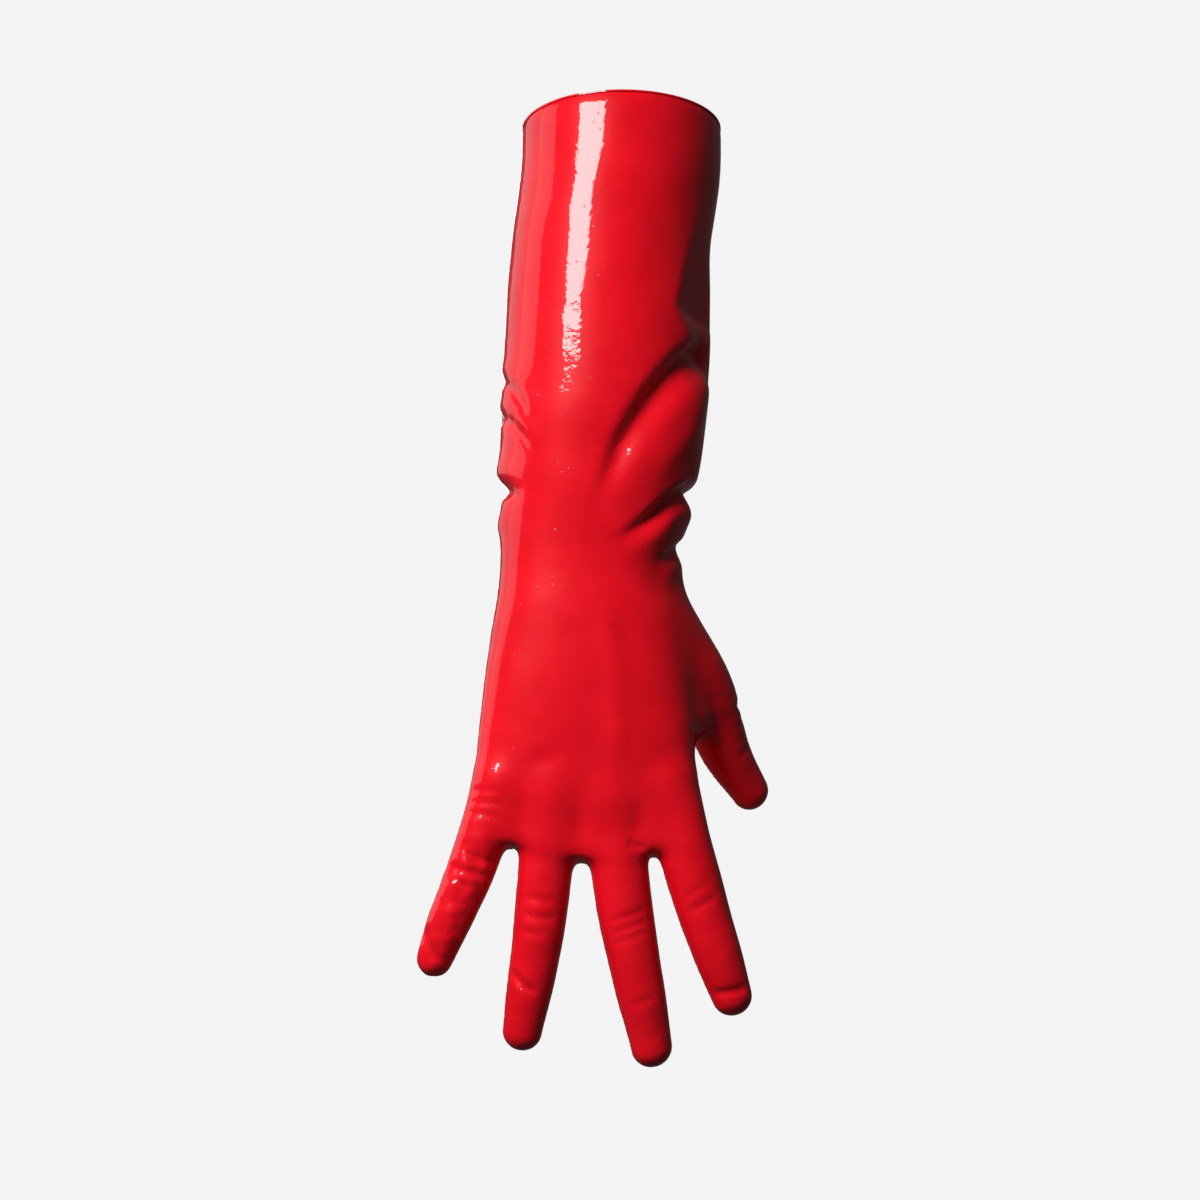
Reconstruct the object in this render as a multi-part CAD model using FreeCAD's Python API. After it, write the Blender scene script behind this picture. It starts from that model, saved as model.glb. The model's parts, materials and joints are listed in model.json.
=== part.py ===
# A long coated glove for the right hand, hanging fingers down from its cuff mouth.
#
# The glove is a seamless glossy coating over a sewn knit liner, with the coating turned
# in over the rim of the cuff. It bends where the hand in it bends, so the skin is divided
# into bodies at the wrist, at the knuckles and at two places along each finger.
#
# Row frame, in millimetres: the origin is the centre of the cuff mouth, +Z is up along
# the sleeve, the fingers point to -Z, the back of the hand faces -Y, the thumb is at +X.
import FreeCAD
import Part
import math
import os
from FreeCAD import Vector

ACROSS = Vector(1, 0, 0)
PALM_SIDE = Vector(0, 1, 0)
DOWN = Vector(0, 0, -1)

# ---- Driving dimensions -------------------------------------------------------------

COATING = 1.0            # wall of the outer coating
LINER = 0.9              # wall of the knit liner
SEAM = 0.8               # height of the overlocked seam inside the liner
BOND_GAP = 0.15          # clearance between two layers
JOINT_GAP = 0.25         # each body stops this far short of its hinge plane

CUFF_RADIUS = 39.2       # outside of the round cuff
FACING_DEPTH = 14.0      # how far the coating is turned in at the rim
FACING_WALL = 0.7
FACING_GAP = 0.45        # clearance from the liner to the turned-in band
SEAM_WIDTH = 3.2
SEAM_START = 16.0        # the seams run from here down to the wrist
DEPTH_SHARE = 0.93       # a finger's depth over its width

# The sleeve and palm: height, centre across, half width, half depth, squareness.
SLEEVE_AND_PALM = [
    (0.0, 0.0, CUFF_RADIUS, CUFF_RADIUS, 2.0),
    (-5.0, 0.0, CUFF_RADIUS, CUFF_RADIUS, 2.0),
    (-10.0, 0.0, CUFF_RADIUS, CUFF_RADIUS, 2.0),
    (-15.0, 0.0, CUFF_RADIUS, CUFF_RADIUS, 2.0),
    (-30.0, -1.6, 39.2, 38.9, 2.0),
    (-50.0, -3.8, 39.2, 38.0, 2.0),
    (-95.0, -5.8, 39.9, 36.5, 2.0),
    (-125.0, -7.6, 39.4, 34.5, 2.05),
    (-148.0, -9.4, 36.8, 31.0, 2.1),
    (-166.0, -11.8, 34.6, 27.5, 2.15),
    (-184.0, -13.2, 33.6, 24.5, 2.2),
    (-205.0, -13.2, 36.8, 23.5, 2.25),
    (-230.0, -13.2, 39.8, 21.5, 2.35),
    (-255.0, -13.9, 41.3, 18.5, 2.45),
    (-270.0, -14.7, 42.3, 16.0, 2.5),
    (-281.0, -15.3, 44.0, 12.5, 2.5),
    (-287.5, -15.6, 43.0, 7.0, 2.5),
]

# Each finger: its root, middle joint, end joint and tip, and its half width at each.
FINGERS = {
    "little": ([(-46.0, -2.0, -266.0), (-57.6, 1.8, -297.0), (-64.9, 5.0, -314.2), (-71.3, 10.5, -332.5)],
               [9.6, 9.4, 8.0, 6.8]),
    "ring": ([(-26.0, -2.0, -266.0), (-30.2, 3.0, -308.0), (-33.8, 8.5, -333.0), (-37.6, 16.0, -359.5)],
             [10.0, 9.9, 8.9, 7.4]),
    "middle": ([(-4.5, -2.0, -266.0), (1.6, 3.0, -314.5), (6.6, 8.5, -339.5), (11.0, 16.0, -365.4)],
               [10.2, 10.3, 9.2, 7.6]),
    "index": ([(17.0, -2.0, -266.0), (27.8, 2.5, -302.5), (35.0, 7.0, -325.0), (42.0, 13.0, -347.0)],
              [10.4, 10.4, 9.2, 7.4]),
}
THUMB = ([(9.0, 5.0, -198.0), (31.5, 18.5, -224.0), (40.5, 29.5, -245.5), (52.5, 39.5, -264.0)],
         [15.2, 11.7, 9.7, 7.6])
THUMB_SWING = Vector(-0.75, 0.66, 0.0)   # the way the thumb closes

# Hinges, with the travel of each in degrees: away from the palm, towards the palm.
WRIST = (Vector(-13.2, 0.0, -184.0), -35.0, 45.0)
KNUCKLES = (Vector(-14.7, 0.0, -268.0), 0.0, 40.0)
MIDDLE_JOINT_TRAVEL = 70.0
END_JOINT_TRAVEL = 35.0
THUMB_TRAVEL = 30.0
THUMB_END_TRAVEL = 45.0

ROUND_POINTS = 20        # points on a cross-section of the sleeve or palm
STATION_STEP = 8.0       # distance between the cross-sections of a finger
DOME_STEPS = (0.0, 0.45, 0.75, 0.93, 1.0)   # stations over a fingertip, as shares of its radius
DOME_END = 0.12          # half width of the flat left at the very tip, as a share
FAR = 600.0              # larger than the glove, for cutting blocks

COATING_INSIDE = COATING
LINER_OUTSIDE = COATING_INSIDE + BOND_GAP
LINER_INSIDE = LINER_OUTSIDE + LINER
SEAM_OUTSIDE = LINER_INSIDE + BOND_GAP
SEAM_INSIDE = SEAM_OUTSIDE + SEAM


# ---- Building blocks ----------------------------------------------------------------

def superellipse(centre, across, deep, half_width, half_depth, squareness):
    """A closed smooth wire about centre, in the plane of the two unit vectors."""
    points = []
    for i in range(ROUND_POINTS):
        angle = 2.0 * math.pi * i / ROUND_POINTS
        c, s = math.cos(angle), math.sin(angle)
        x = half_width * math.copysign(abs(c) ** (2.0 / squareness), c)
        y = half_depth * math.copysign(abs(s) ** (2.0 / squareness), s)
        points.append(centre + across * x + deep * y)
    curve = Part.BSplineCurve()
    curve.interpolate(points, PeriodicFlag=True)
    return Part.Wire([curve.toShape()])


def block(point, normal):
    """A cube of side FAR on the plane through point, on the side that normal points to."""
    cube = Part.makeBox(FAR, FAR, FAR, Vector(-FAR / 2, -FAR / 2, 0))
    cube.Placement = FreeCAD.Placement(point, FreeCAD.Rotation(Vector(0, 0, 1), normal))
    return cube


def ellipse(centre, across, deep, half_width, half_depth):
    """A closed wire about centre, its longer half along across."""
    return Part.Wire([
        Part.Ellipse(centre + across * half_width, centre + deep * half_depth, centre).toShape()
    ])


def sleeve_and_palm(inset):
    """The solid inside the sleeve and palm's skin, inset from the outer surface."""
    wires = []
    for z, x, width, depth, squareness in SLEEVE_AND_PALM:
        bottom = inset if z == SLEEVE_AND_PALM[-1][0] else 0.0
        centre = Vector(x, 0, z + bottom)
        wires.append(superellipse(centre, ACROSS, PALM_SIDE, width - inset, depth - inset, squareness))
    return Part.makeLoft(wires, True, False)


def finger_stations(joints, half_widths):
    """Points, directions and half widths along a finger, from its root over its tip."""
    points = [Vector(*p) for p in joints]
    tip_radius = half_widths[-1]
    last = (points[3] - points[2]).normalize()
    points[3] = points[3] - last * tip_radius
    stations = []
    for i in range(3):
        run = points[i + 1] - points[i]
        steps = round(run.Length / STATION_STEP)
        for step in range(steps):
            share = step / steps
            radius = half_widths[i] + (half_widths[i + 1] - half_widths[i]) * share
            at_joint = i > 0 and step == 0
            direction = points[i + 1] - points[i - 1] if at_joint else run
            stations.append((points[i] + run * share, direction, radius))
    for share in DOME_STEPS:
        radius = tip_radius * max(DOME_END, math.sqrt(1.0 - share * share))
        stations.append((points[3] + last * (tip_radius * share), last, radius))
    return stations


def finger_solid(joints, half_widths, axis, inset):
    """The solid inside one finger's skin, inset from the outer surface."""
    tip, end_joint = Vector(*joints[3]), Vector(*joints[2])
    inner_tip = tip - (tip - end_joint).normalize() * inset
    wires = []
    for point, direction, radius in finger_stations([*joints[:3], inner_tip], [w - inset for w in half_widths]):
        direction = direction.normalize()
        deep = direction.cross(axis).normalize()
        across = deep.cross(direction).normalize()
        wires.append(ellipse(point, across, deep, radius, radius * DEPTH_SHARE))
    return Part.makeLoft(wires, True, False)


def hinge_blocks(pivot, axis, distal, low, high):
    """Two pairs of cutting blocks for a hinge: what the near body and the far body give up.

    The space on the closing side is shared between the two bodies, so that their faces
    come together, JOINT_GAP each from the hinge plane, at the end of the travel.
    """
    near_cut, far_cut = [], []
    for turn in (high / 2.0, low / 2.0):
        towards_far = FreeCAD.Rotation(axis, turn).multVec(distal)
        near_cut.append(block(pivot - towards_far * JOINT_GAP, towards_far))
        towards_near = FreeCAD.Rotation(axis, -turn).multVec(distal) * -1.0
        far_cut.append(block(pivot - towards_near * JOINT_GAP, towards_near))
    return near_cut, far_cut


def cut_all(shape, cutters):
    for cutter in cutters:
        shape = shape.cut(cutter)
    return shape


def halves(shape):
    """The back panel and the palm panel of a liner, either side of the side seams."""
    plane_gap = BOND_GAP / 2
    back = shape.common(block(Vector(0, -plane_gap, 0), Vector(0, -1, 0)))
    palm = shape.common(block(Vector(0, plane_gap, 0), Vector(0, 1, 0)))
    return back, palm


def export(name, shape):
    """Writes the solids of a shape as one STEP file and prints what it holds."""
    solids = [s for s in shape.Solids if s.Volume > 1.0]
    whole = solids[0] if len(solids) == 1 else Part.makeCompound(solids)
    whole.exportStep("parts/%s.step" % name)
    print(name, len(solids), "solids", round(sum(s.Volume for s in solids)), "mm3", whole.isValid())


# ---- Hinges -------------------------------------------------------------------------

def finger_hinges(joints, axis, travels):
    """The middle and end joints' cutting blocks, each square to the finger there."""
    points = [Vector(*p) for p in joints]
    hinges = []
    for i, travel in zip((1, 2), travels):
        distal = (points[i + 1] - points[i - 1]).normalize()
        square_axis = (axis - distal * axis.dot(distal)).normalize()
        hinges.append(hinge_blocks(points[i], square_axis, distal, 0.0, travel))
    return hinges


def flexing_axis(joints, towards):
    """The axis across a finger about which a positive turn closes it towards a direction."""
    distal = (Vector(*joints[2]) - Vector(*joints[1])).normalize()
    swing = (towards - distal * towards.dot(distal)).normalize()
    return distal.cross(swing).normalize()


AXES = {name: flexing_axis(joints, PALM_SIDE) for name, (joints, _) in FINGERS.items()}
THUMB_AXIS = flexing_axis(THUMB[0], THUMB_SWING)

FINGER_TRAVELS = (MIDDLE_JOINT_TRAVEL, END_JOINT_TRAVEL)
THUMB_TRAVELS = (THUMB_TRAVEL, THUMB_END_TRAVEL)


# ---- One layer of the glove, from an outer inset to an inner inset ------------------

def layer(outside, inside):
    """A dict of body name to the shape of this layer on that body."""
    arm_out, arm_in = sleeve_and_palm(outside), sleeve_and_palm(inside)
    wrist_near, wrist_far = hinge_blocks(WRIST[0], ACROSS, DOWN, WRIST[1], WRIST[2])
    knuckle_near, knuckle_far = hinge_blocks(KNUCKLES[0], ACROSS, DOWN, KNUCKLES[1], KNUCKLES[2])

    made = {"gauntlet": cut_all(arm_out.cut(arm_in), wrist_near)}

    thumb_out = finger_solid(*THUMB, THUMB_AXIS, outside)
    thumb_in = finger_solid(*THUMB, THUMB_AXIS, inside)
    thumb_hinges = finger_hinges(THUMB[0], THUMB_AXIS, THUMB_TRAVELS)
    thumb_root = cut_all(thumb_out, thumb_hinges[0][0])
    palm = cut_all(arm_out, wrist_far + knuckle_near)
    palm = cut_all(palm.fuse(thumb_root), wrist_far)
    made["hand"] = cut_all(palm, [arm_in, thumb_in])
    made["thumb_mid"], made["thumb_end"] = finger_bodies(thumb_out, thumb_in, thumb_hinges)
    made["thumb_mid"] = made["thumb_mid"].cut(cut_all(arm_out, wrist_far + knuckle_near))

    block_out = cut_all(arm_out, knuckle_far)
    inner = [arm_in]
    for name, (joints, half_widths) in FINGERS.items():
        out = finger_solid(joints, half_widths, AXES[name], outside)
        hollow = finger_solid(joints, half_widths, AXES[name], inside)
        hinges = finger_hinges(joints, AXES[name], FINGER_TRAVELS)
        root = cut_all(out, hinges[0][0] + knuckle_far)
        block_out = block_out.fuse(root)
        inner.append(hollow)
        made[name + "_mid"], made[name + "_end"] = finger_bodies(out, hollow, hinges)
    made["knuckles"] = cut_all(block_out, inner)
    return made


def finger_bodies(out, hollow, hinges):
    """The skin between a finger's two joints, and beyond the end joint."""
    (_, middle_far), (end_near, end_far) = hinges
    skin = out.cut(hollow)
    return cut_all(skin, middle_far + end_near), cut_all(skin, end_far)


# ---- The pieces ---------------------------------------------------------------------

def cuff_facing():
    """The coating turned in over the rim: a lip on the cut edges and a band inside."""
    bore = CUFF_RADIUS - LINER_INSIDE - FACING_GAP - FACING_WALL
    profile = Part.makePolygon([
        Vector(bore, 0, 0),
        Vector(CUFF_RADIUS, 0, 0),
        Vector(CUFF_RADIUS, 0, -FACING_WALL),
        Vector(bore + FACING_WALL, 0, -FACING_WALL),
        Vector(bore + FACING_WALL, 0, -FACING_DEPTH),
        Vector(bore, 0, -FACING_DEPTH),
        Vector(bore, 0, 0),
    ])
    return Part.Face(profile).revolve(Vector(0, 0, 0), Vector(0, 0, 1), 360)


def below_rim(shape):
    """A layer's sleeve without the top, where the facing's lip covers its edge."""
    return shape.cut(block(Vector(0, 0, -FACING_WALL - BOND_GAP), Vector(0, 0, 1)))


def side_seams(strip):
    """The two overlocked seams of the liner, one down each side of the sleeve."""
    slab = Part.makeBox(FAR, SEAM_WIDTH, FAR, Vector(-FAR / 2, -SEAM_WIDTH / 2, -FAR - SEAM_START))
    return strip.common(slab)


def main():
    os.makedirs("parts", exist_ok=True)
    coating = layer(0.0, COATING_INSIDE)
    liner = layer(LINER_OUTSIDE, LINER_INSIDE)

    coating["gauntlet"] = below_rim(coating["gauntlet"])
    liner["gauntlet"] = below_rim(liner["gauntlet"])
    for body, shape in coating.items():
        export(body + "_coating", shape)
    for body, shape in liner.items():
        if body in ("gauntlet", "hand", "knuckles"):
            back, palm = halves(shape)
            export(body + "_liner_back", back)
            export(body + "_liner_palm", palm)
        else:
            export(body + "_liner", shape)
    export("cuff_facing", cuff_facing())

    wrist_near, _ = hinge_blocks(WRIST[0], ACROSS, DOWN, WRIST[1], WRIST[2])
    seam_skin = sleeve_and_palm(SEAM_OUTSIDE).cut(sleeve_and_palm(SEAM_INSIDE))
    export("gauntlet_liner_seams", side_seams(cut_all(seam_skin, wrist_near)))


main()
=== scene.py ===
# A long glossy coated glove, hanging fingers down from its cuff.
#
# The skin is worked out as one closed form: a sleeve and palm joined smoothly to five
# fingers, as a distance field in millimetres. It is meshed once, folded and creased, and
# then divided into the pieces that stand in for the CAD bodies, each a thick shell. Where two
# pieces meet they share their points and normals, so that the skin looks seamless.
import json
import math

import bmesh
import bpy
import numpy as np
import openvdb
from mathutils import Matrix, Vector


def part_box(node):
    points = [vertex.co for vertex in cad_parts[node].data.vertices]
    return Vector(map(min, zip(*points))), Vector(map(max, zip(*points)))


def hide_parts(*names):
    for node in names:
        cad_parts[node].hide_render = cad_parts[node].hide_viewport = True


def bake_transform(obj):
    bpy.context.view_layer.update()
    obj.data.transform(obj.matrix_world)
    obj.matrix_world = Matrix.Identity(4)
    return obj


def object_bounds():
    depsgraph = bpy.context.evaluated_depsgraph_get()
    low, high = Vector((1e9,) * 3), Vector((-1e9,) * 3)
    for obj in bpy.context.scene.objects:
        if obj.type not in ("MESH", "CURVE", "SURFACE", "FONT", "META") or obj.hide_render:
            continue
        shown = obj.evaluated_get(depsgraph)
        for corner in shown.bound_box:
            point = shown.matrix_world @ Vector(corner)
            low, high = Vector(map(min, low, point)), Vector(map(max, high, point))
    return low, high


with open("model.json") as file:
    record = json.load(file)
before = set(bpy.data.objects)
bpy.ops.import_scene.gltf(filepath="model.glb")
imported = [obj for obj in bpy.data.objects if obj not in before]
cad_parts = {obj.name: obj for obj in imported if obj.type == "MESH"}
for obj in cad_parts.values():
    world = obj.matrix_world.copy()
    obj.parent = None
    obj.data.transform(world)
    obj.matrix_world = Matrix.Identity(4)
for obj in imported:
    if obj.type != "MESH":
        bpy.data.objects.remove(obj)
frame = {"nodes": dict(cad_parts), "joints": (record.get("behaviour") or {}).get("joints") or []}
cad_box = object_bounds()

MM = 0.001
VOXEL = 1.25      # mesh size of the skin, in mm

# ---- Places from the frame, in millimetres ------------------------------------------

JOINTS = {j["name"]: j for j in frame["joints"]}


def pivot(joint):
    return np.array(JOINTS[joint]["pos_m"]) / MM


def farthest(node, point):
    """The point of a CAD node farthest from a place: a fingertip, seen from its last joint."""
    co = np.array([v.co for v in frame["nodes"][node].data.vertices]) / MM
    return co[np.argmax(((co - point) ** 2).sum(1))]


CUFF_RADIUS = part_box("cuff_facing")[1].x / MM
FACING_DEPTH = -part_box("cuff_facing")[0].z / MM
WRIST_Z = pivot("wrist_bend")[2]
KNUCKLE_Z = pivot("knuckle_bend")[2]

# ---- Driving shapes -----------------------------------------------------------------

# The sleeve and palm: height, centre across, half width, half depth, squareness.
SLEEVE_AND_PALM = [
    (6.0, 0.0, CUFF_RADIUS, CUFF_RADIUS, 2.0),
    (-15.0, -0.2, CUFF_RADIUS, CUFF_RADIUS, 2.0),
    (-50.0, -4.0, 39.2, 38.0, 2.0),
    (-95.0, -5.9, 39.9, 36.5, 2.0),
    (-125.0, -7.8, 39.2, 34.5, 2.05),
    (-148.0, -9.3, 37.2, 31.0, 2.1),
    (-166.0, -11.5, 34.9, 27.5, 2.15),
    (-184.0, -13.2, 33.9, 24.5, 2.2),
    (-205.0, -13.6, 36.0, 23.0, 2.25),
    (-230.0, -13.7, 39.0, 20.5, 2.35),
    (-250.0, -13.9, 40.8, 17.5, 2.4),
    (-268.0, -14.8, 41.8, 14.0, 2.5),
    (-280.0, -15.1, 42.5, 11.0, 2.5),
    (-296.0, -15.2, 43.0, 8.0, 2.5),
]
# The lower edge of the palm between the fingers: place across, and height.
WEB_LINE = [(-70.0, -281.0), (-41.0, -286.0), (-15.0, -291.5), (10.0, -289.0), (40.0, -279.0)]
WEB_ROUNDING = 7.0

# Where each finger starts inside the palm, and its half width at the middle joint.
FINGERS = {
    "little": ((-45.5, -2.0, -262.0), 8.9),
    "ring": ((-25.8, -2.5, -262.0), 10.0),
    "middle": ((-5.0, -2.5, -262.0), 10.3),
    "index": ((16.5, -2.0, -262.0), 10.2),
}
THUMB = ((9.0, 5.0, -196.0), 11.7)
# Half width along a finger, as a share: root, middle joint, half way, end joint, tip.
FINGER_TAPER = (1.0, 0.99, 0.935, 0.88, 0.74)
THUMB_TAPER = (1.42, 1.06, 0.94, 0.83, 0.65)
DEPTH_SHARE = 0.93       # a finger's depth against its width
# How wide the rounding is between two fingers, at the fingers' roots and round the thumb.
FINGER_BLEND, WEB_BLEND, THUMB_BLEND = 2.0, 7.0, 15.0
# The skin stretched between the thumb and the palm: its two ends and half its thickness.
THUMB_WEB = ((15.0, 4.5, -208.0), (24.2, 8.2, -235.6), 7.5)

FAR = 40.0               # stands for the distance to a finger that isn't near
LIMB_ROOM = 10.0         # a finger's distance is worked out this far around it
SMALL = 1e-6


def unit(v):
    return v / np.linalg.norm(v, axis=-1, keepdims=True)


def smooth_curve(points):
    """A function through points (key, values...) whose slope has no jumps."""
    table = np.array(sorted(points), float)
    keys, values = table[:, 0], table[:, 1:]
    slopes = np.gradient(values, keys, axis=0)

    def at(x):
        x = np.clip(x, keys[0], keys[-1])
        i = np.clip(np.searchsorted(keys, x) - 1, 0, len(keys) - 2)
        run = (keys[i + 1] - keys[i])[:, None]
        t = (x - keys[i])[:, None] / run
        near, far = 1 - t * t * (3 - 2 * t), t * t * (3 - 2 * t)
        turn_near, turn_far = t * (1 - t) ** 2 * run, -t * t * (1 - t) * run
        return near * values[i] + far * values[i + 1] + turn_near * slopes[i] + turn_far * slopes[i + 1]

    return at


def smooth_min(a, b, reach):
    """The smaller of two distances, with a rounded joint about reach wide."""
    h = np.maximum(reach - np.abs(a - b), 0.0) / reach
    return np.minimum(a, b) - h ** 3 * reach / 6.0


def smooth_max(a, b, reach):
    return -smooth_min(-a, -b, reach)


# ---- The distance field -------------------------------------------------------------

sleeve_at = smooth_curve(SLEEVE_AND_PALM)
web_at = smooth_curve(WEB_LINE)


def sleeve_distance(p):
    """Distance from points to the sleeve and palm, negative inside."""
    centre, width, depth, square = sleeve_at(p[:, 2]).T
    u = np.maximum(np.abs(p[:, 0] - centre) / width, SMALL)
    v = np.maximum(np.abs(p[:, 1]) / depth, SMALL)
    total = u ** square + v ** square
    level = total ** (1 / square)
    slope_x = level / total * u ** (square - 1) / width
    slope_y = level / total * v ** (square - 1) / depth
    side = (level - 1) / np.hypot(slope_x, slope_y)
    below_web = web_at(p[:, 0])[:, 0] - p[:, 2]
    return smooth_max(side, below_web, WEB_ROUNDING)


class Limb:
    """One finger: a curved path with a half width that changes along it."""

    STEPS = 30

    def __init__(self, joints, half_width, taper, palm_side):
        tip_radius = half_width * taper[-1]
        joints[3] = joints[3] - unit(joints[3] - joints[2]) * tip_radius
        self.joints = joints
        spaced = np.array([0.0, *np.cumsum(np.linalg.norm(np.diff(joints, axis=0), axis=1))])
        self.joint_along = spaced
        path_at = smooth_curve([(s, *p) for s, p in zip(spaced, joints)])
        self.along = np.linspace(0.0, spaced[-1], self.STEPS + 1)
        self.path = path_at(self.along)
        half_way = (spaced[1] + spaced[2]) / 2
        keys = [spaced[0], spaced[1], half_way, spaced[2], spaced[3]]
        self.radius_at = smooth_curve([(k, half_width * t) for k, t in zip(keys, taper)])
        self.palm_side = palm_side
        self.thumb_side = unit(np.cross(palm_side, joints[2] - joints[1]))
        reach = half_width * max(taper) + LIMB_ROOM
        self.low, self.high = self.path.min(0) - reach, self.path.max(0) + reach

    def direction_at(self, along):
        i = int(np.clip(np.searchsorted(self.along, along), 1, self.STEPS - 1))
        return unit(self.path[i + 1] - self.path[i - 1])

    def place(self, p):
        """For points: distance from the path, how far along it, and which way they lie from it."""
        nearest = np.full(len(p), np.inf)
        along = np.zeros(len(p))
        away = np.zeros((len(p), 3))
        for i in range(self.STEPS):
            start, run = self.path[i], self.path[i + 1] - self.path[i]
            t = np.clip((p - start) @ run / (run @ run), 0, 1)
            gap = p - start - t[:, None] * run
            reach = (gap ** 2).sum(1)
            closer = reach < nearest
            nearest[closer] = reach[closer]
            along[closer] = (self.along[i] + t * (self.along[i + 1] - self.along[i]))[closer]
            away[closer] = gap[closer]
        reach = np.sqrt(nearest)
        return reach, along, away / np.maximum(reach, SMALL)[:, None]

    def distance(self, p):
        out = np.full(len(p), FAR)
        near = np.all((p > self.low) & (p < self.high), axis=1)
        reach, along, away = self.place(p[near])
        facing_palm = away @ self.palm_side
        radius = self.radius_at(along)[:, 0] * (1 - (1 - DEPTH_SHARE) * facing_palm ** 2)
        out[near] = reach - radius
        return out

    def unroll(self, p, from_palm=False):
        """For points: mm round the finger towards the thumb from its middle, and mm along it."""
        _, along, away = self.place(p)
        face = -self.palm_side if not from_palm else self.palm_side
        around = np.arctan2(away @ self.thumb_side, away @ face) * self.radius_at(along)[:, 0]
        return np.stack([around, along], axis=1)


def make_limbs():
    limbs = {}
    for name, (root, half_width) in [*FINGERS.items(), ("thumb", THUMB)]:
        middle, end = pivot(name + "_bend"), pivot(name + "_end_bend")
        tip = farthest(name + "_end_coating", end)
        axis = np.array(JOINTS[name + "_bend"]["axis"])
        palm_side = unit(np.cross(axis, unit(end - middle)))
        taper = THUMB_TAPER if name == "thumb" else FINGER_TAPER
        limbs[name] = Limb(np.array([root, middle, end, tip]), half_width, taper, palm_side)
    return limbs


limbs = make_limbs()


def rod_distance(p, start, end, radius):
    """Distance from points to a straight round-ended rod, negative inside."""
    start, run = np.array(start), np.subtract(end, start)
    t = np.clip((p - start) @ run / (run @ run), 0, 1)
    return np.linalg.norm(p - start - t[:, None] * run, axis=1) - radius


def skin_distance(p):
    """Distance from points to the whole glove's smooth outer skin, negative inside."""
    fingers = limbs["little"].distance(p)
    for name in ("ring", "middle", "index"):
        fingers = smooth_min(fingers, limbs[name].distance(p), FINGER_BLEND)
    hand = smooth_min(sleeve_distance(p), fingers, WEB_BLEND)
    hand = smooth_min(hand, rod_distance(p, *THUMB_WEB), THUMB_BLEND)
    return smooth_min(hand, limbs["thumb"].distance(p), THUMB_BLEND)


def skin_slope(p, step=0.05):
    """Distance from points to the skin, and which way and how fast it grows there."""
    here = skin_distance(p)
    slope = [skin_distance(p + step * axis) - here for axis in np.eye(3)]
    return here, np.array(slope).T / step


# ---- The mesh -----------------------------------------------------------------------

# Room left round the fingertips' middles, behind the cuff, below the fingers and above the rim.
SIDE_ROOM, BACK_ROOM, FOOT_ROOM, TOP_ROOM = 14.0, 4.0, 12.0, 5.0
SNAP_PASSES = 3


def mesh_skin():
    """Points and quads on the skin's surface, about VOXEL apart."""
    tips = np.array([limb.path[-1] for limb in limbs.values()])
    low = np.array([tips[:, 0].min() - SIDE_ROOM, -CUFF_RADIUS - BACK_ROOM, tips[:, 2].min() - FOOT_ROOM])
    high = np.array([tips[:, 0].max() + SIDE_ROOM, tips[:, 1].max() + SIDE_ROOM, TOP_ROOM])
    counts = np.ceil((high - low) / VOXEL).astype(int) + 1
    axes = [low[i] + VOXEL * np.arange(counts[i]) for i in range(3)]
    grid_points = np.stack(np.meshgrid(*axes, indexing="ij"), axis=-1).reshape(-1, 3)
    values = skin_distance(grid_points).reshape(counts)
    grid = openvdb.FloatGrid(FAR)
    grid.copyFromArray(np.ascontiguousarray(values, np.float32))
    points, quads = grid.convertToQuads(0.0)
    points = low + np.array(points, float) * VOXEL
    for _ in range(SNAP_PASSES):
        here, slope = skin_slope(points)
        points = points - slope * (here / (slope ** 2).sum(1))[:, None]
    return points, np.array(quads, int)


# ---- Folds and creases --------------------------------------------------------------

def round_sleeve(p):
    """Where points lie on the unrolled sleeve, in mm: round it from the middle of its back, and up."""
    centre, width, depth, _ = sleeve_at(p[:, 2]).T
    angle = np.arctan2((p[:, 0] - centre) / width, -p[:, 1] / depth)
    return np.stack([angle * CUFF_RADIUS, p[:, 2]], axis=1)


def on_sleeve(route):
    """A route given in degrees round the sleeve and mm up, as mm on the unrolled sleeve."""
    return [(math.radians(angle) * CUFF_RADIUS, z) for angle, z in route]


def beside(flat, route):
    """For flat points: distance to a route, which side they are on, and the share along it."""
    route = np.array(route, float)
    steps = np.linalg.norm(np.diff(route, axis=0), axis=1)
    reached = np.array([0.0, *np.cumsum(steps)]) / steps.sum()
    nearest = np.full(len(flat), np.inf)
    side = np.zeros(len(flat))
    share = np.zeros(len(flat))
    for i in range(len(steps)):
        run = route[i + 1] - route[i]
        t = np.clip((flat - route[i]) @ run / (run @ run), 0, 1)
        gap = flat - route[i] - t[:, None] * run
        reach = np.hypot(gap[:, 0], gap[:, 1])
        closer = reach < nearest
        nearest[closer] = reach[closer]
        side[closer] = np.sign(run[0] * gap[:, 1] - run[1] * gap[:, 0])[closer]
        share[closer] = (reached[i] + t * (reached[i + 1] - reached[i]))[closer]
    return nearest, side, share


def bell(x, width):
    return np.exp(-(x / width) ** 2)


SKEW = 0.3               # how much wider a banked valley is on the bank's side
# A banked valley's width and depth as shares: at its start, and what they lose along it.
WIDTH_START, WIDTH_LOSS = 1.2, 0.5
DEPTH_START, DEPTH_LOSS = 1.15, 0.65


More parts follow.
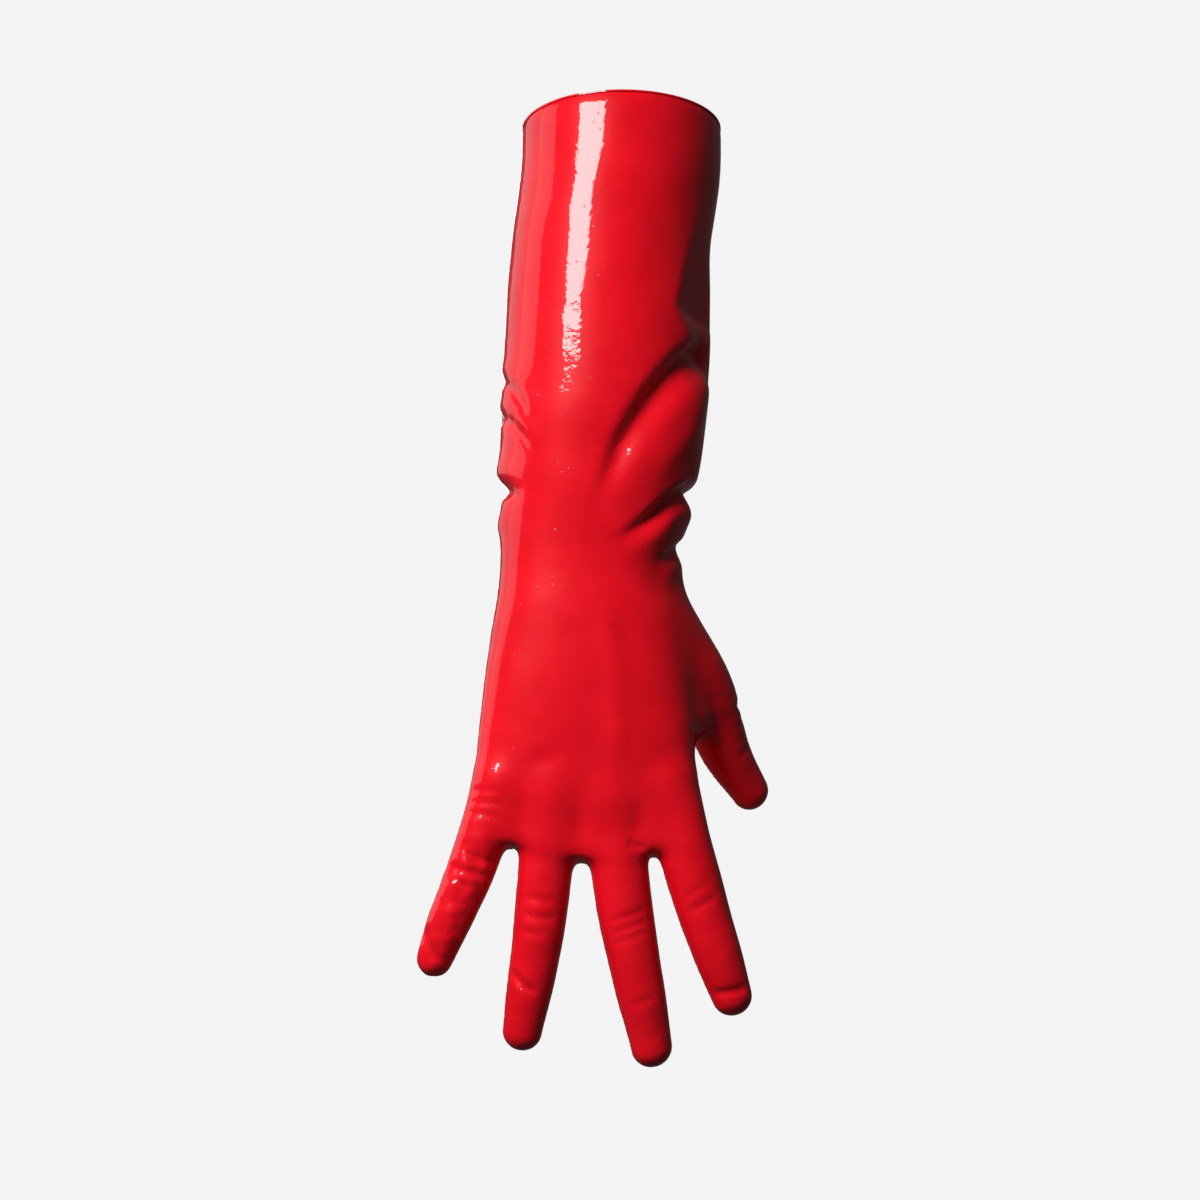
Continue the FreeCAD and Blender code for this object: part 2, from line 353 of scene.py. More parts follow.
def crease(flat, route, depth, width, bank=0.0, bank_width=6.0, bank_side=1, ends=(0.15, 0.3)):
    """How far a pressed-in line moves the skin out: a valley, with a rolled bank on one side.

    Where there is a bank, the valley is steep on the other side and gentle on the bank's, and
    it grows narrower and shallower along its route.
    """
    reach, side, share = beside(flat, route)
    if bank:
        skew = np.where(side == bank_side, 1 + SKEW, 1 - SKEW)
        width = width * skew * (WIDTH_START - WIDTH_LOSS * share)
        depth = depth * (DEPTH_START - DEPTH_LOSS * share)
    fade = np.clip(share / ends[0], 0, 1) * np.clip((1 - share) / ends[1], 0, 1)
    fade = fade * fade * (3 - 2 * fade)
    banked = bell(reach * side * bank_side - bank_width, bank_width)
    return fade * (bank * banked - depth * bell(reach, width))


def ripples(p, size, seed, waves=18):
    """A smooth random surface of about unit height, with bumps about size across."""
    rng = np.random.default_rng(seed)
    total = np.zeros(len(p))
    for _ in range(waves):
        direction = unit(rng.normal(size=3)) * rng.uniform(0.6, 1.4) * 2 * math.pi / size
        total += np.sin(p @ direction + rng.uniform(0, 2 * math.pi))
    return total / math.sqrt(waves)


def bump(u, v, height, across, up, lean):
    """A soft oval bump, or a dip where height is negative, in the flat."""
    c, s = math.cos(math.radians(lean)), math.sin(math.radians(lean))
    return height * bell(u * c + v * s, across) * bell(v * c - u * s, up)


# Each crease: its route in degrees round the sleeve and mm up, depth, width, bank height,
# bank width, and which side of the route the bank is on.
SLEEVE_CREASES = [
    ([(89, -94), (75, -96), (60, -100), (46, -106), (36, -113), (27, -121), (19, -130), (12, -139),
      (7, -150), (2, -164)], 5.2, 6.0, 1.0, 11.0, 1),
    ([(130, -150), (105, -150), (88, -150), (70, -151), (60, -154), (50, -158), (38, -165),
      (24, -172), (10, -176)], 5.4, 4.4, 1.3, 6.0, 1),
    ([(125, -171), (100, -170), (80, -172), (60, -177), (42, -182)], 3.0, 4.0, 1.2, 6.0, 1),
    ([(-104, -103), (-78, -107), (-60, -114), (-50, -121), (-42, -132)], 1.5, 2.6, 0.7, 4.0, 1),
    ([(-100, -119), (-75, -122), (-60, -127), (-50, -133), (-40, -142)], 1.7, 2.6, 0.8, 4.0, 1),
    ([(-128, -147), (-100, -149), (-80, -150), (-62, -153), (-48, -158)], 5.0, 4.4, 1.3, 5.0, 1),
    ([(-150, -104), (-170, -112), (-190, -116), (-212, -112)], 1.6, 5.0, 1.0, 7.0, 1),
    ([(-130, -128), (-155, -136), (-180, -139), (-205, -134), (-228, -126)], 2.4, 5.0, 1.2, 7.0, 1),
    ([(-128, -152), (-155, -160), (-180, -163), (-205, -160), (-228, -152)], 3.0, 4.5, 1.4, 6.0, 1),
    ([(-118, -176), (-150, -182), (-180, -184), (-210, -181), (-235, -174)], 2.4, 4.5, 1.0, 6.0, 1),
]
# The flat dent near the cuff: which way it faces, and how deep it is at which heights.
SLEEVE_DENT = (66, (-96, -83, -44), (0.0, 3.9, 0.0))
DENT_ROUNDING = 1.2
# The ridge between the two long creases: route, height and width.
SLEEVE_RIDGE = ([(78, -102), (68, -113), (61, -128), (42, -143), (28, -156)], 0.9, 5.5)
# Each bulge: its middle, height, half size across and up, and lean in degrees.
SLEEVE_BULGES = [
    ((62, -125), 1.8, 14.0, 22.0, 25.0),
    ((84, -159), 0.8, 12.0, 6.0, 0.0),
    ((31, -126), -0.8, 6.0, 12.0, -25.0),
    ((92, -48), -0.6, 10.0, 16.0, 0.0),
    ((-84, -141), 1.1, 12.0, 7.0, 0.0),
    ((-84, -163), 1.2, 12.0, 5.0, 0.0),
]


def sleeve_folds(p):
    """The folds where the sleeve has slumped above the wrist."""
    flat = round_sleeve(p)
    out = np.zeros(len(p))
    for route, depth, width, bank, bank_width, side in SLEEVE_CREASES:
        out += crease(flat, on_sleeve(route), depth, width, bank, bank_width, side)
    route, height, width = SLEEVE_RIDGE
    out += crease(flat, on_sleeve(route), -height, width)
    facing, heights, depths = SLEEVE_DENT
    turned_away = np.cos(flat[:, 0] / CUFF_RADIUS - math.radians(facing)) - 1
    depth = np.interp(p[:, 2], heights, depths)
    out -= smooth_max(turned_away * CUFF_RADIUS + depth, np.zeros(len(p)), DENT_ROUNDING)
    for (angle, z), height, across, up, lean in SLEEVE_BULGES:
        u = flat[:, 0] - math.radians(angle) * CUFF_RADIUS
        out += bump(u, flat[:, 1] - z, height, across, up, lean)
    return out


# On the back of the hand, seen flat, each bump or dip: its middle in mm across and up, height,
# half size across and up, and lean in degrees.
HAND_BUMPS = [
    ((-47, -263), 0.7, 6.5, 8.0, 15.0),
    ((-27, -268), 0.8, 6.5, 9.0, 8.0),
    ((-5, -270), 0.9, 7.0, 9.0, 0.0),
    ((16, -265), 0.7, 6.5, 9.0, -15.0),
    ((-37, -276), -0.8, 4.0, 9.0, 10.0),
    ((-16, -280), -0.8, 4.0, 9.0, 0.0),
    ((6, -279), -0.8, 4.0, 9.0, -8.0),
    ((-29, -256), -0.5, 7.0, 4.0, 20.0),
    ((17, -188), -1.3, 8.0, 11.0, -10.0),
]
# Each crease there: its route in mm across and up, depth and width.
HAND_CREASES = [
    ([(-57, -266), (-52, -266.5), (-45, -267)], 0.40, 1.2),
    ([(-58, -270), (-50, -271), (-43, -272)], 0.45, 1.2),
    ([(-59, -274), (-52, -275), (-44, -277)], 0.40, 1.2),
    ([(1, -286), (5, -287.5), (10, -287)], 0.7, 1.3),
]
# The tendon of the middle finger: its route, height and width.
TENDON = ([(-7, -196), (-3, -222), (-2, -245), (-4, -266)], 0.55, 4.0)
# The hand's relief reaches this far above the wrist and below the knuckles, and fades out
# over the last few millimetres of depth towards the sides of the hand.
HAND_RELIEF_ABOVE, HAND_RELIEF_BELOW, HAND_RELIEF_FADE = 10.0, 30.0, 5.0


def hand_relief(p):
    """The knuckles, a tendon and the slack wrinkles on the back of the hand."""
    out = np.zeros(len(p))
    below_top = p[:, 2] < WRIST_Z + HAND_RELIEF_ABOVE
    on_back = (p[:, 1] < 0) & below_top & (p[:, 2] > KNUCKLE_Z - HAND_RELIEF_BELOW)
    flat = p[on_back][:, [0, 2]]
    high = np.zeros(len(flat))
    for (x, z), *shape in HAND_BUMPS:
        high += bump(flat[:, 0] - x, flat[:, 1] - z, *shape)
    for route, depth, width in HAND_CREASES:
        high += crease(flat, route, depth, width)
    route, height, width = TENDON
    high += crease(flat, route, -height, width)
    out[on_back] = high * np.clip(-p[on_back][:, 1] / HAND_RELIEF_FADE, 0, 1)
    return out


# Creases on each finger: from the middle joint (1) or end joint (2), the route as mm round
# the finger from the middle of its back and mm beyond the joint, the depth and the width.
FINGER_CREASES = {
    "little": [
        (1, [(-12, -8.0), (-4, -7.6), (5, -8.4)], 0.80, 1.3),
        (1, [(-11, -2.8), (0, -2.2), (12, -1.4)], 0.88, 1.3),
        (1, [(-5, 2.8), (2, 2.6), (10, -0.8)], 0.56, 1.2),
        (2, [(-2, 13.5), (3, 9.5), (9, 3.5)], 1.04, 1.7),
    ],
    "ring": [
        (1, [(-7, -3.0), (9, -3.2)], 0.48, 1.3),
        (1, [(-8, 3.2), (0, 3.4), (9, 2.6)], 0.58, 1.3),
        (1, [(-5, 9.4), (10, 8.8)], 0.42, 1.4),
        (2, [(-4, 5.0), (2, 3.0), (11, -2.2)], 1.10, 1.6),
    ],
    "middle": [
        (1, [(-10, -4.8), (9, -2.0)], 0.51, 1.3),
        (1, [(-10, -0.8), (0, 0.8), (9, 2.0)], 0.58, 1.3),
        (1, [(-9, 3.4), (9, 5.6)], 0.42, 1.3),
        (2, [(-6, 1.0), (7, 2.4)], 0.32, 1.4),
    ],
    "index": [
        (1, [(-8, 3.0), (9, 5.8)], 0.42, 1.4),
        (1, [(-7, -2.4), (8, 0.4)], 0.32, 1.4),
        (2, [(-8, 14.4), (0, 13.6), (9, 11.8)], 1.04, 1.5),
    ],
    "thumb": [
        (1, [(-11, 2.0), (-9, 8.0), (-6, 13.0)], 0.9, 1.6),
        (1, [(-15, 8.0), (-9, 12.0), (-3, 17.0)], 0.9, 1.6),
        (1, [(-2, 7.0), (-8, 9.0), (-13, 9.5)], 0.8, 1.5),
        (2, [(-6, -1.0), (6, 0.5)], 0.35, 1.4),
    ],
}
# Across the palm side of every finger, at each joint: mm beyond the joint, depth and width.
FLEXION_LINES = [(-1.6, 0.35, 1.3), (1.8, 0.30, 1.3)]
FLEXION_ROUTE = [(-11.0, 0.8), (0.0, 0.0), (11.0, 0.6)]
# The slack skin's lumps down the back of each finger: height, size and how far round they reach.
LUMP_HEIGHT = {"little": 0.34}
LUMP_HEIGHT_ELSEWHERE = 0.06
LUMP_SIZE, LUMP_REACH, LUMP_SEED = 7.0, 8.0, 20
# A finger's relief starts this far above its middle joint and is at full height this much on.
RELIEF_START, RELIEF_RAMP = 22.0, 10.0
NEAR_SKIN = 2.5          # points this near a finger's smooth form belong to it


def finger_relief(p):
    """Wrinkles at the finger joints, folds of slack at the tips, and slight lumps."""
    out = np.zeros(len(p))
    for seed, (name, limb) in enumerate(limbs.items()):
        on_limb = limb.distance(p) < NEAR_SKIN
        mine = p[on_limb]
        back, palm = limb.unroll(mine), limb.unroll(mine, from_palm=True)
        high = np.zeros(len(mine))
        for joint, route, depth, width in FINGER_CREASES[name]:
            shift = limb.joint_along[joint]
            high += crease(back, [(u, v + shift) for u, v in route], depth, width, ends=(0.25, 0.25))
        for joint in (1, 2):
            for below, depth, width in FLEXION_LINES:
                at = limb.joint_along[joint] + below
                high += crease(palm, [(u, v + at) for u, v in FLEXION_ROUTE], depth, width)
        onto_finger = np.clip((back[:, 1] - limb.joint_along[1] + RELIEF_START) / RELIEF_RAMP, 0, 1)
        lumps = LUMP_HEIGHT.get(name, LUMP_HEIGHT_ELSEWHERE) * ripples(mine, LUMP_SIZE, LUMP_SEED + seed)
        lumps = lumps * bell(back[:, 0], LUMP_REACH)
        out[on_limb] += onto_finger * (high + lumps)
    return out


RIM_ROLL = 0.35          # how far the rim turns in
ROLL_START, ROLL_LENGTH = 4.5, 3.6       # where it starts below the rim, and over what length
RIM_PLAIN, RIM_FADE = 8.0, 25.0          # no folds this near the rim, and full folds this much lower
FOLDS_BELOW, FOLDS_FADE = 40.0, 30.0     # the sleeve's folds end this far below the wrist, fading out
UNEVENNESS = [(0.14, 34.0, 1), (0.02, 11.0, 2)]      # each wave's height, size and seed


def relief(p):
    """How far the folds, creases and slight unevenness move the smooth skin out, in mm."""
    below_rim = np.clip((-RIM_PLAIN - p[:, 2]) / RIM_FADE, 0, 1)
    on_arm = below_rim * np.clip((p[:, 2] - WRIST_Z + FOLDS_BELOW) / FOLDS_FADE, 0, 1)
    uneven = sum(height * ripples(p, size, seed) for height, size, seed in UNEVENNESS)
    rolled = -RIM_ROLL * np.clip((p[:, 2] + ROLL_START) / ROLL_LENGTH, 0, 1) ** 2
    return rolled + on_arm * sleeve_folds(p) + below_rim * uneven + hand_relief(p) + finger_relief(p)


# ---- Dividing the skin --------------------------------------------------------------

BEND_REACH = 8.0         # a finger bends within this far of its joint
THUMB_END_REACH = 6.0    # and the thumb's end within this far
BLEND_MARGIN = 1.0       # pieces meet this far outside the stretch that bends
WRIST_BEND = (WRIST_Z + 16.0, WRIST_Z - 16.0)
HAND_TOP = WRIST_BEND[1] - 7.0
RIM_WALL = 0.9           # the facing's lip covers this much at the very top
# The thumb leaves the hand at a plane that faces this way, this far from the origin. It bends
# from just past the plane over the thumb's reach, and its end piece starts a little early.
THUMB_PLANE = unit(np.array([0.80, 0.55, -0.20]))
THUMB_START = 80.6
THUMB_MARGIN = 0.5
THUMB_REACH = 7.0
THUMB_END_MARGIN = 2.3
# How near a cut, and how near its finger, a face must be for the cut to reach it.
CUT_SLAB = 3 * VOXEL
CUT_REACH = 6.0
RIM_REACH = 10.0         # the rim is cut off within this far of the top
SIDE_CUT_BELOW = 32.0    # the cut between back and palm ends this far below the knuckles
OWN_REACH = 4.0          # a face this near a finger's smooth form belongs to the finger


def bend_lines():
    """For each finger: the points between which its two joints bend, and the cuts between pieces."""
    lines = {}
    for name, limb in limbs.items():
        _, middle, end, _ = limb.joints
        first = limb.direction_at(limb.joint_along[1])
        second = limb.direction_at(limb.joint_along[2])
        if name == "thumb":
            root = (THUMB_PLANE * THUMB_START, THUMB_PLANE)
            bend_start = THUMB_START + THUMB_MARGIN
            first_bend = (THUMB_PLANE * bend_start, THUMB_PLANE * (bend_start + THUMB_REACH))
            reach = THUMB_END_REACH
            between = (end - second * (reach + BLEND_MARGIN + THUMB_END_MARGIN), unit(second + THUMB_PLANE))
        else:
            root = (middle - first * (BEND_REACH + BLEND_MARGIN), first)
            first_bend = (middle - first * BEND_REACH, middle + first * BEND_REACH)
            reach = BEND_REACH
            gap = (first_bend[1] + end - second * BEND_REACH) / 2
            between = (gap, unit(end - middle))
        second_bend = (end - second * reach, end + second * reach)
        lines[name] = {"root": root, "first": first_bend, "between": between, "second": second_bend}
    return lines


bends = bend_lines()


def beyond(p, plane):
    """Which points lie past a plane, given as a point and a normal."""
    point, normal = plane
    return (p - point) @ normal > 0


def cut_mesh(points, quads):
    """Cuts the mesh cleanly along every line where two pieces meet, and off at the rim."""
    bm = bmesh.new()
    for point in points:
        bm.verts.new(point)
    bm.verts.ensure_lookup_table()
    for quad in quads:
        bm.faces.new([bm.verts[i] for i in quad])

    def cut(point, normal, near, clear=False):
        centres = np.array([f.calc_center_median() for f in bm.faces])
        wanted = near(centres)
        faces = [f for f, take in zip(bm.faces, wanted) if take]
        edges = dict.fromkeys(e for f in faces for e in f.edges)
        verts = dict.fromkeys(v for f in faces for v in f.verts)
        bmesh.ops.bisect_plane(
            bm, geom=[*faces, *edges, *verts], dist=1e-4, plane_co=point, plane_no=normal, clear_outer=clear
        )

    side_foot = KNUCKLE_Z - SIDE_CUT_BELOW
    cut((0, 0, -RIM_WALL), (0, 0, 1), lambda c: c[:, 2] > -RIM_REACH, clear=True)
    cut((0, 0, HAND_TOP), (0, 0, 1), lambda c: np.abs(c[:, 2] - HAND_TOP) < CUT_SLAB)
    cut((0, 0, 0), (0, 1, 0), lambda c: (np.abs(c[:, 1]) < CUT_SLAB) & (c[:, 2] > side_foot))
    for name, limb in limbs.items():
        for line in ("root", "between"):
            point, normal = bends[name][line]

            def near(c, limb=limb, point=point, normal=normal):
                close = np.abs((c - point) @ normal) < CUT_SLAB
                close[close] = limb.distance(c[close]) < CUT_REACH
                return close

            cut(point, normal, near)
    bmesh.ops.dissolve_degenerate(bm, dist=1e-3, edges=bm.edges)
    bm.normal_update()
    for i, v in enumerate(bm.verts):
        v.index = i
    points = np.array([v.co for v in bm.verts])
    faces = [[v.index for v in f.verts] for f in bm.faces]
    bm.free()
    return points, faces


def piece_of_faces(points, faces):
    """Which piece of the skin each face belongs to."""
    centres = np.array([points[f].mean(0) for f in faces])
    owner = np.where(centres[:, 2] > HAND_TOP, "sleeve", "hand").astype("<U12")
    for name, limb in limbs.items():
        on_limb = beyond(centres, bends[name]["root"])
        near = limb.distance(centres[on_limb])
        on_limb[on_limb] = (near < OWN_REACH) & (near < sleeve_distance(centres[on_limb]))
        owner[on_limb] = name + "_mid"
        owner[on_limb & beyond(centres, bends[name]["between"])] = name + "_end"
    return owner, centres


def vertex_normals(points, faces):
    """Area-weighted normals of the whole skin, so that neighbouring pieces agree."""
    normals = np.zeros_like(points)
    for size in {len(f) for f in faces}:
        group = np.array([f for f in faces if len(f) == size])
        corners = points[group]
        turned = np.cross(corners, np.roll(corners, -1, axis=1)).sum(1)
        for k in range(size):
            np.add.at(normals, group[:, k], turned)
    return unit(normals)


# ---- Shells -------------------------------------------------------------------------

COATING_WALL = 1.0
LINER_GAP = 0.1          # between the coating and the liner, and the liner and its seams
LINER_WALL = 0.8
SEAM_WALL = 0.5
SEAM_HALF_WIDTH = 3.0


def shell(name, faces, outer, inner, normals, material):
    """A thick closed piece between two copies of some of the skin's faces."""
    used = sorted({v for f in faces for v in f})
    index = {v: i for i, v in enumerate(used)}
    count = len(used)
    front = [[index[v] for v in f] for f in faces]
    edges = {(a, b) for f in front for a, b in zip(f, f[1:] + f[:1])}
    open_edges = [(a, b) for a, b in edges if (b, a) not in edges]
    back = [[v + count for v in reversed(f)] for f in front]
    rim = [[b, a, a + count, b + count] for a, b in sorted(open_edges)]
    points = np.concatenate([outer[used], inner[used]])
    mesh = bpy.data.meshes.new(name)
    mesh.from_pydata((points * MM).tolist(), [], front + back + rim)
    mesh.polygons.foreach_set("use_smooth", [True] * len(mesh.polygons))
    shaded = [tuple(normals[used[v]]) for f in front for v in f]
    shaded += [tuple(-normals[used[v - count]]) for f in back for v in f]
    for f in rim:
        a, b, c = points[f[0]], points[f[1]], points[f[2]]
        flat = np.cross(b - a, c - b)
        shaded += [tuple(flat / max(np.linalg.norm(flat), 1e-9))] * 4
    mesh.normals_split_custom_set(shaded)
    mesh.materials.append(material)
    obj = bpy.data.objects.new(name, mesh)
    bpy.context.scene.collection.objects.link(obj)
    return obj


def bend_piece(obj, piece, nodes):
    """Bakes a piece's placement into its mesh and hides the CAD nodes that it stands for."""
    if piece == "sleeve":
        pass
    elif piece == "hand":
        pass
    else:
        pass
    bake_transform(obj)
    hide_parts(*nodes)


# ---- Materials ----------------------------------------------------------------------

def node_material(name):
    """A new material, its node tree and its main shader."""
    material = bpy.data.materials.new(name)
    material.use_nodes = True
    tree = material.node_tree
    return material, tree, tree.nodes["Principled BSDF"]


def add(tree, kind, **inputs):
    """A new shader node, with values for its inputs by name."""
    node = tree.nodes.new(kind)
    for key, value in inputs.items():
        node.inputs[key.replace("_", " ")].default_value = value
    return node


def coating_material():
    """Glossy red dipped coating: a clear film that is faintly uneven, with specks of dust in it."""
    material, tree, shader = node_material("red_coating")
    link = tree.links.new
    shader.inputs["Roughness"].default_value = 0.38
    shader.inputs["Specular IOR Level"].default_value = 0.12
    shader.inputs["Coat Weight"].default_value = 1.0
    shader.inputs["Coat Roughness"].default_value = 0.02
    shader.inputs["Coat IOR"].default_value = 1.39
    place = tree.nodes.new("ShaderNodeTexCoord").outputs["Object"]

    mottle = add(tree, "ShaderNodeTexNoise", Scale=55.0, Detail=4.0, Roughness=0.55)
    link(place, mottle.inputs["Vector"])
    tint = tree.nodes.new("ShaderNodeValToRGB")
    tint.color_ramp.elements[0].position, tint.color_ramp.elements[1].position = 0.3, 0.7
    tint.color_ramp.elements[0].color = (0.70, 0.0025, 0.0105, 1)
    tint.color_ramp.elements[1].color = (0.82, 0.0045, 0.0150, 1)
    link(mottle.outputs["Fac"], tint.inputs["Fac"])
    link(tint.outputs["Color"], shader.inputs["Base Color"])

    uneven = add(tree, "ShaderNodeTexNoise", Scale=480.0, Detail=2.0, Roughness=0.45)
    link(place, uneven.inputs["Vector"])
    waves = add(tree, "ShaderNodeBump", Strength=1.0, Distance=0.000045)
    link(uneven.outputs["Fac"], waves.inputs["Height"])
    cells = add(tree, "ShaderNodeTexVoronoi", Scale=240.0, Randomness=1.0)
    link(place, cells.inputs["Vector"])
    speck = tree.nodes.new("ShaderNodeMapRange")
    speck.inputs["From Min"].default_value, speck.inputs["From Max"].default_value = 0.0, 0.10
    speck.inputs["To Min"].default_value, speck.inputs["To Max"].default_value = 1.0, 0.0
    link(cells.outputs["Distance"], speck.inputs["Value"])
    dust = add(tree, "ShaderNodeBump", Strength=0.6, Distance=0.00015)
    link(speck.outputs["Result"], dust.inputs["Height"])
    link(waves.outputs["Normal"], dust.inputs["Normal"])
    link(dust.outputs["Normal"], shader.inputs["Coat Normal"])
    link(waves.outputs["Normal"], shader.inputs["Normal"])
    return material


def knit_material(name, dark, light, pitch):
    """Matte cotton knit: interlocked loops in rows, fuzzy and slightly uneven in colour."""
    material, tree, shader = node_material(name)
    link = tree.links.new
    shader.inputs["Roughness"].default_value = 0.95
    shader.inputs["Specular IOR Level"].default_value = 0.15
    shader.inputs["Sheen Weight"].default_value = 0.35
    place = tree.nodes.new("ShaderNodeTexCoord").outputs["Object"]
    rows = add(tree, "ShaderNodeTexWave", Scale=0.16 / pitch, Distortion=1.2, Detail=1.0)
    rows.bands_direction = "Z"
    ribs = add(tree, "ShaderNodeTexWave", Scale=0.20 / pitch, Distortion=1.0, Detail=1.0)
    ribs.bands_direction = "DIAGONAL"
    fuzz = add(tree, "ShaderNodeTexNoise", Scale=0.9 / pitch, Detail=3.0)
    for texture in (rows, ribs, fuzz):
        link(place, texture.inputs["Vector"])
    loops = tree.nodes.new("ShaderNodeMix")
    loops.inputs["Factor"].default_value = 0.5
    link(rows.outputs["Fac"], loops.inputs["A"])
    link(ribs.outputs["Fac"], loops.inputs["B"])
    height = tree.nodes.new("ShaderNodeMix")
    height.inputs["Factor"].default_value = 0.35
    link(loops.outputs["Result"], height.inputs["A"])
    link(fuzz.outputs["Fac"], height.inputs["B"])
    tint = tree.nodes.new("ShaderNodeValToRGB")
    tint.color_ramp.elements[0].position, tint.color_ramp.elements[1].position = 0.25, 0.75
    tint.color_ramp.elements[0].color = (*dark, 1)
    tint.color_ramp.elements[1].color = (*light, 1)
    link(height.outputs["Result"], tint.inputs["Fac"])
    link(tint.outputs["Color"], shader.inputs["Base Color"])
    bump = add(tree, "ShaderNodeBump", Strength=0.7, Distance=0.0003)
    link(height.outputs["Result"], bump.inputs["Height"])
    link(bump.outputs["Normal"], shader.inputs["Normal"])
    return material


def paper_material():
    """Matte studio paper that glows a little, so that it stays evenly pale."""
    material, _, shader = node_material("studio_paper")
    shader.inputs["Base Color"].default_value = (0.5, 0.5, 0.5, 1)
    shader.inputs["Roughness"].default_value = 1.0
    shader.inputs["Emission Color"].default_value = (1.0, 1.0, 1.0, 1)
    shader.inputs["Emission Strength"].default_value = 0.6
    return material


# ---- Building -----------------------------------------------------------------------

red = coating_material()
knit = knit_material("knit_liner", (0.62, 0.57, 0.47), (0.84, 0.80, 0.70), 0.0011)
thread = knit_material("seam_thread", (0.55, 0.50, 0.40), (0.80, 0.76, 0.65), 0.0007)

base_points, base_quads = mesh_skin()
base_points, faces = cut_mesh(base_points, base_quads)
owner, centres = piece_of_faces(base_points, faces)
base_normals = vertex_normals(base_points, faces)
skin = base_points + base_normals * relief(base_points)[:, None]
normals = vertex_normals(skin, faces)
back_side = centres[:, 1] < 0

PIECES = ["sleeve", "hand"] + [name + part for name in limbs for part in ("_mid", "_end")]
# The pieces whose lining is two panels, and the CAD bodies that each stands for.
TWO_PANEL_PIECES = {"sleeve": ["gauntlet"], "hand": ["hand", "knuckles"]}
coat_inside = skin - normals * COATING_WALL
liner_outside = skin - normals * (COATING_WALL + LINER_GAP)
liner_inside = skin - normals * (COATING_WALL + LINER_GAP + LINER_WALL)
seam_inside = skin - normals * (COATING_WALL + 2 * LINER_GAP + LINER_WALL + SEAM_WALL)


def faces_where(wanted):
    return [f for f, take in zip(faces, wanted) if take]


for piece in PIECES:
    bodies = TWO_PANEL_PIECES.get(piece, [piece])
    mine = owner == piece
    chosen = faces_where(mine)
    coat = shell(piece + "_coat", chosen, skin, coat_inside, normals, red)
    bend_piece(coat, piece, [b + "_coating" for b in bodies])
    if piece in TWO_PANEL_PIECES:
        for side, wanted in (("back", mine & back_side), ("palm", mine & ~back_side)):
            chosen = faces_where(wanted)
            lining = shell(piece + "_lining_" + side, chosen, liner_outside, liner_inside, normals, knit)
            bend_piece(lining, piece, [b + "_liner_" + side for b in bodies])
    else:
        lining = shell(piece + "_lining", chosen, liner_outside, liner_inside, normals, knit)
        bend_piece(lining, piece, [piece + "_liner"])

beside_seam = (np.abs(centres[:, 1]) < SEAM_HALF_WIDTH) & (centres[:, 2] < -FACING_DEPTH)
chosen = faces_where((owner == "sleeve") & beside_seam)
seams = shell("sleeve_seams", chosen, liner_inside - normals * LINER_GAP, seam_inside, normals, thread)
bend_piece(seams, "sleeve", ["gauntlet_liner_seams"])

frame["nodes"]["cuff_facing"].data.materials.clear()
frame["nodes"]["cuff_facing"].data.materials.append(red)


# ---- Floor, light and camera --------------------------------------------------------

FLOOR_DROP = 0.30        # metres from the fingertips down to the floor
FLOOR_SIZE = 5.0


def make_stage():
    """A pale paper floor below the fingertips."""
    ground = cad_box[0].z - FLOOR_DROP
    half = FLOOR_SIZE / 2
    corners = [(x * half, y * half, ground) for x, y in ((-1, -1), (1, -1), (1, 1), (-1, 1))]
    mesh = bpy.data.meshes.new("floor")
    mesh.from_pydata(corners, [], [(0, 1, 2, 3)])
    mesh.materials.append(paper_material())
    obj = bpy.data.objects.new("floor", mesh)
    bpy.context.scene.collection.objects.link(obj)
    obj.visible_diffuse = False
    obj.visible_glossy = False


def area_light(name, azimuth, near_top, far_foot, width, radiance, glossy=True):
    """A soft box: degrees round to the left of the camera, and its top and foot edges.

    Each edge is given as metres away from the glove's axis and metres up from the cuff.
    """
    turn = math.radians(azimuth)
    outward = Vector((-math.sin(turn), -math.cos(turn), 0))
    edges = [outward * away + Vector((0, 0, high)) for away, high in (near_top, far_foot)]
    up = edges[0] - edges[1]
    side = outward.cross(Vector((0, 0, 1)))
    back = side.cross(up).normalized()
    if back.dot(edges[1]) < 0:
        side, back = -side, -back
    data = bpy.data.lights.new(name, "AREA")
    data.shape = "RECTANGLE"
    data.size, data.size_y = width, up.length
    data.energy = radiance * math.pi * width * up.length
    obj = bpy.data.objects.new(name, data)
    turned = Matrix((side.normalized(), up.normalized(), back)).transposed()
    obj.matrix_world = Matrix.Translation((edges[0] + edges[1]) / 2) @ turned.to_4x4()
    obj.visible_glossy = glossy
    bpy.context.scene.collection.objects.link(obj)


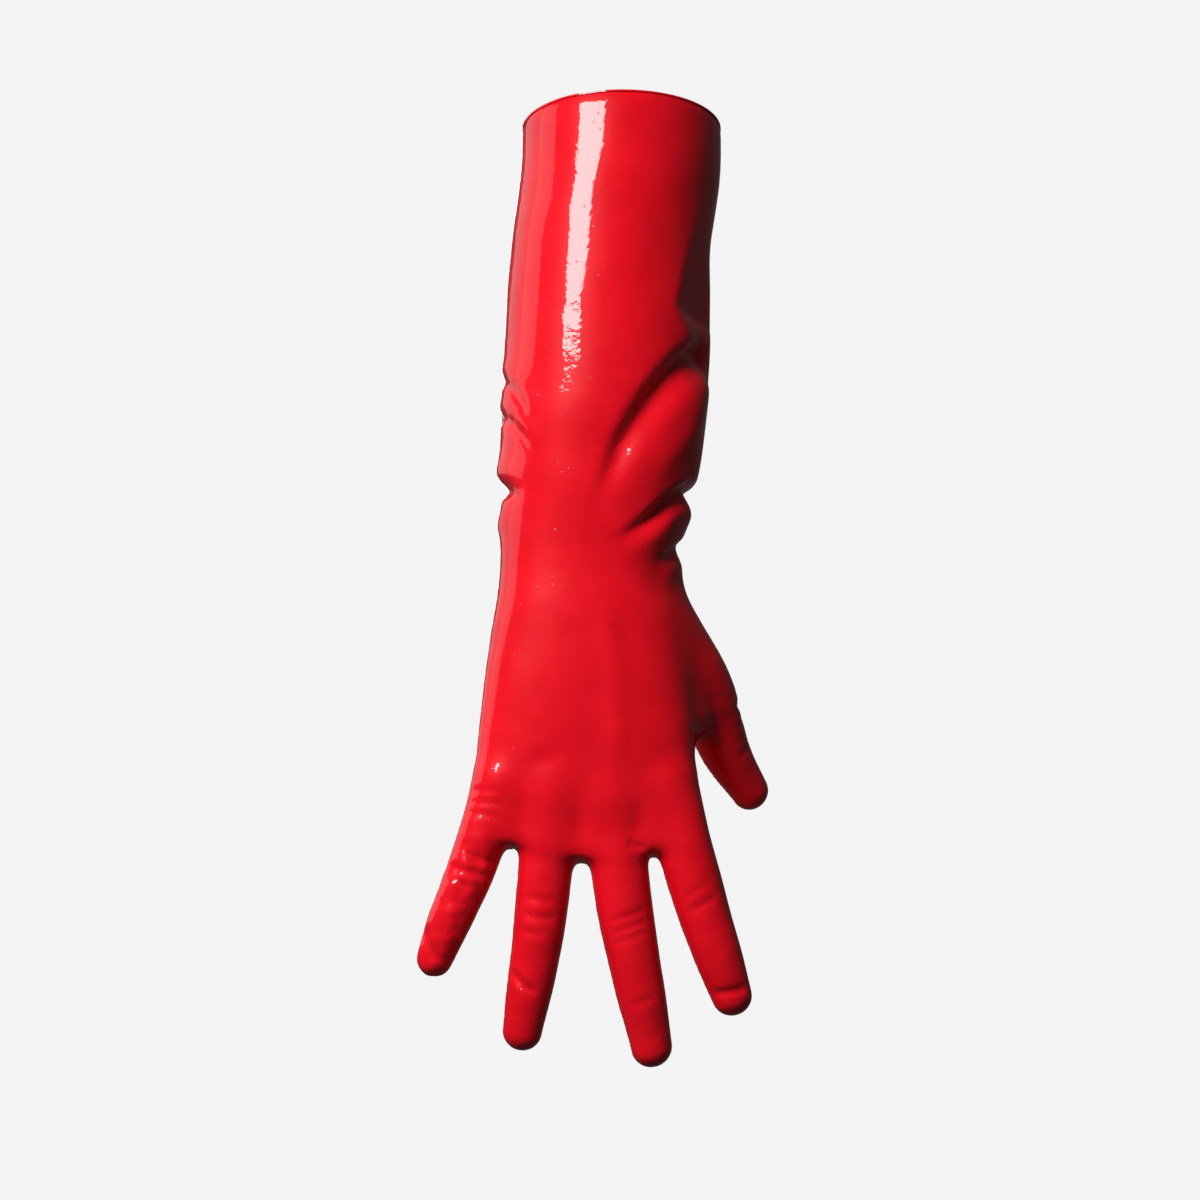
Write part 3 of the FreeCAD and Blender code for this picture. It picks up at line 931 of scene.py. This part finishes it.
ROOM_LIGHT = 0.05        # how much the room lights the glove
ROOM_SEEN = 0.9          # and how bright it looks to the camera


def make_lights():
    """An overhead strip at the front left, soft boxes on the left and behind, and a dim room."""
    area_light("key_strip", 34, (0.95, 0.47), (2.25, 0.52), 0.60, 21.5)
    area_light("soft_key", 30, (0.95, 0.70), (1.05, 0.15), 0.60, 7.9, glossy=False)
    area_light("left_box", 95, (1.5, 1.0), (1.5, 0.02), 0.74, 1.0)
    area_light("left_rear_box", 127.5, (1.5, 1.0), (1.5, 0.02), 1.0, 0.55)
    area_light("rear_strip", 172, (1.6, 1.1), (1.7, -0.3), 0.16, 3.0)
    area_light("rear_fill", 184, (1.5, 0.9), (1.6, -0.3), 1.10, 4.5, glossy=False)
    world = bpy.data.worlds.new("pale_room")
    world.use_nodes = True
    tree = world.node_tree
    seen = tree.nodes.new("ShaderNodeLightPath")
    strength = tree.nodes.new("ShaderNodeMapRange")
    strength.inputs["To Min"].default_value = ROOM_LIGHT
    strength.inputs["To Max"].default_value = ROOM_SEEN
    tree.links.new(seen.outputs["Is Camera Ray"], strength.inputs["Value"])
    background = tree.nodes["Background"]
    background.inputs["Color"].default_value = (1.0, 1.0, 1.0, 1)
    tree.links.new(strength.outputs["Result"], background.inputs["Strength"])
    bpy.context.scene.world = world
    bpy.context.scene.view_settings.view_transform = "Standard"


CAMERA_ELEVATION = math.radians(-14.0)
CAMERA_DISTANCE = 1.1
CAMERA_LENS = 87.0
CAMERA_TARGET = (-0.0085, 0.0, -0.1914)


def make_camera():
    """The viewpoint: straight at the back of the hand, from a little below."""
    data = bpy.data.cameras.new("camera")
    data.lens = CAMERA_LENS
    camera = bpy.data.objects.new("camera", data)
    towards = Vector((0.0, math.cos(CAMERA_ELEVATION), -math.sin(CAMERA_ELEVATION)))
    camera.location = Vector(CAMERA_TARGET) - towards * CAMERA_DISTANCE
    camera.rotation_euler = towards.to_track_quat("-Z", "Y").to_euler()
    bpy.context.scene.collection.objects.link(camera)
    bpy.context.scene.camera = camera


make_stage()
make_lights()
make_camera()
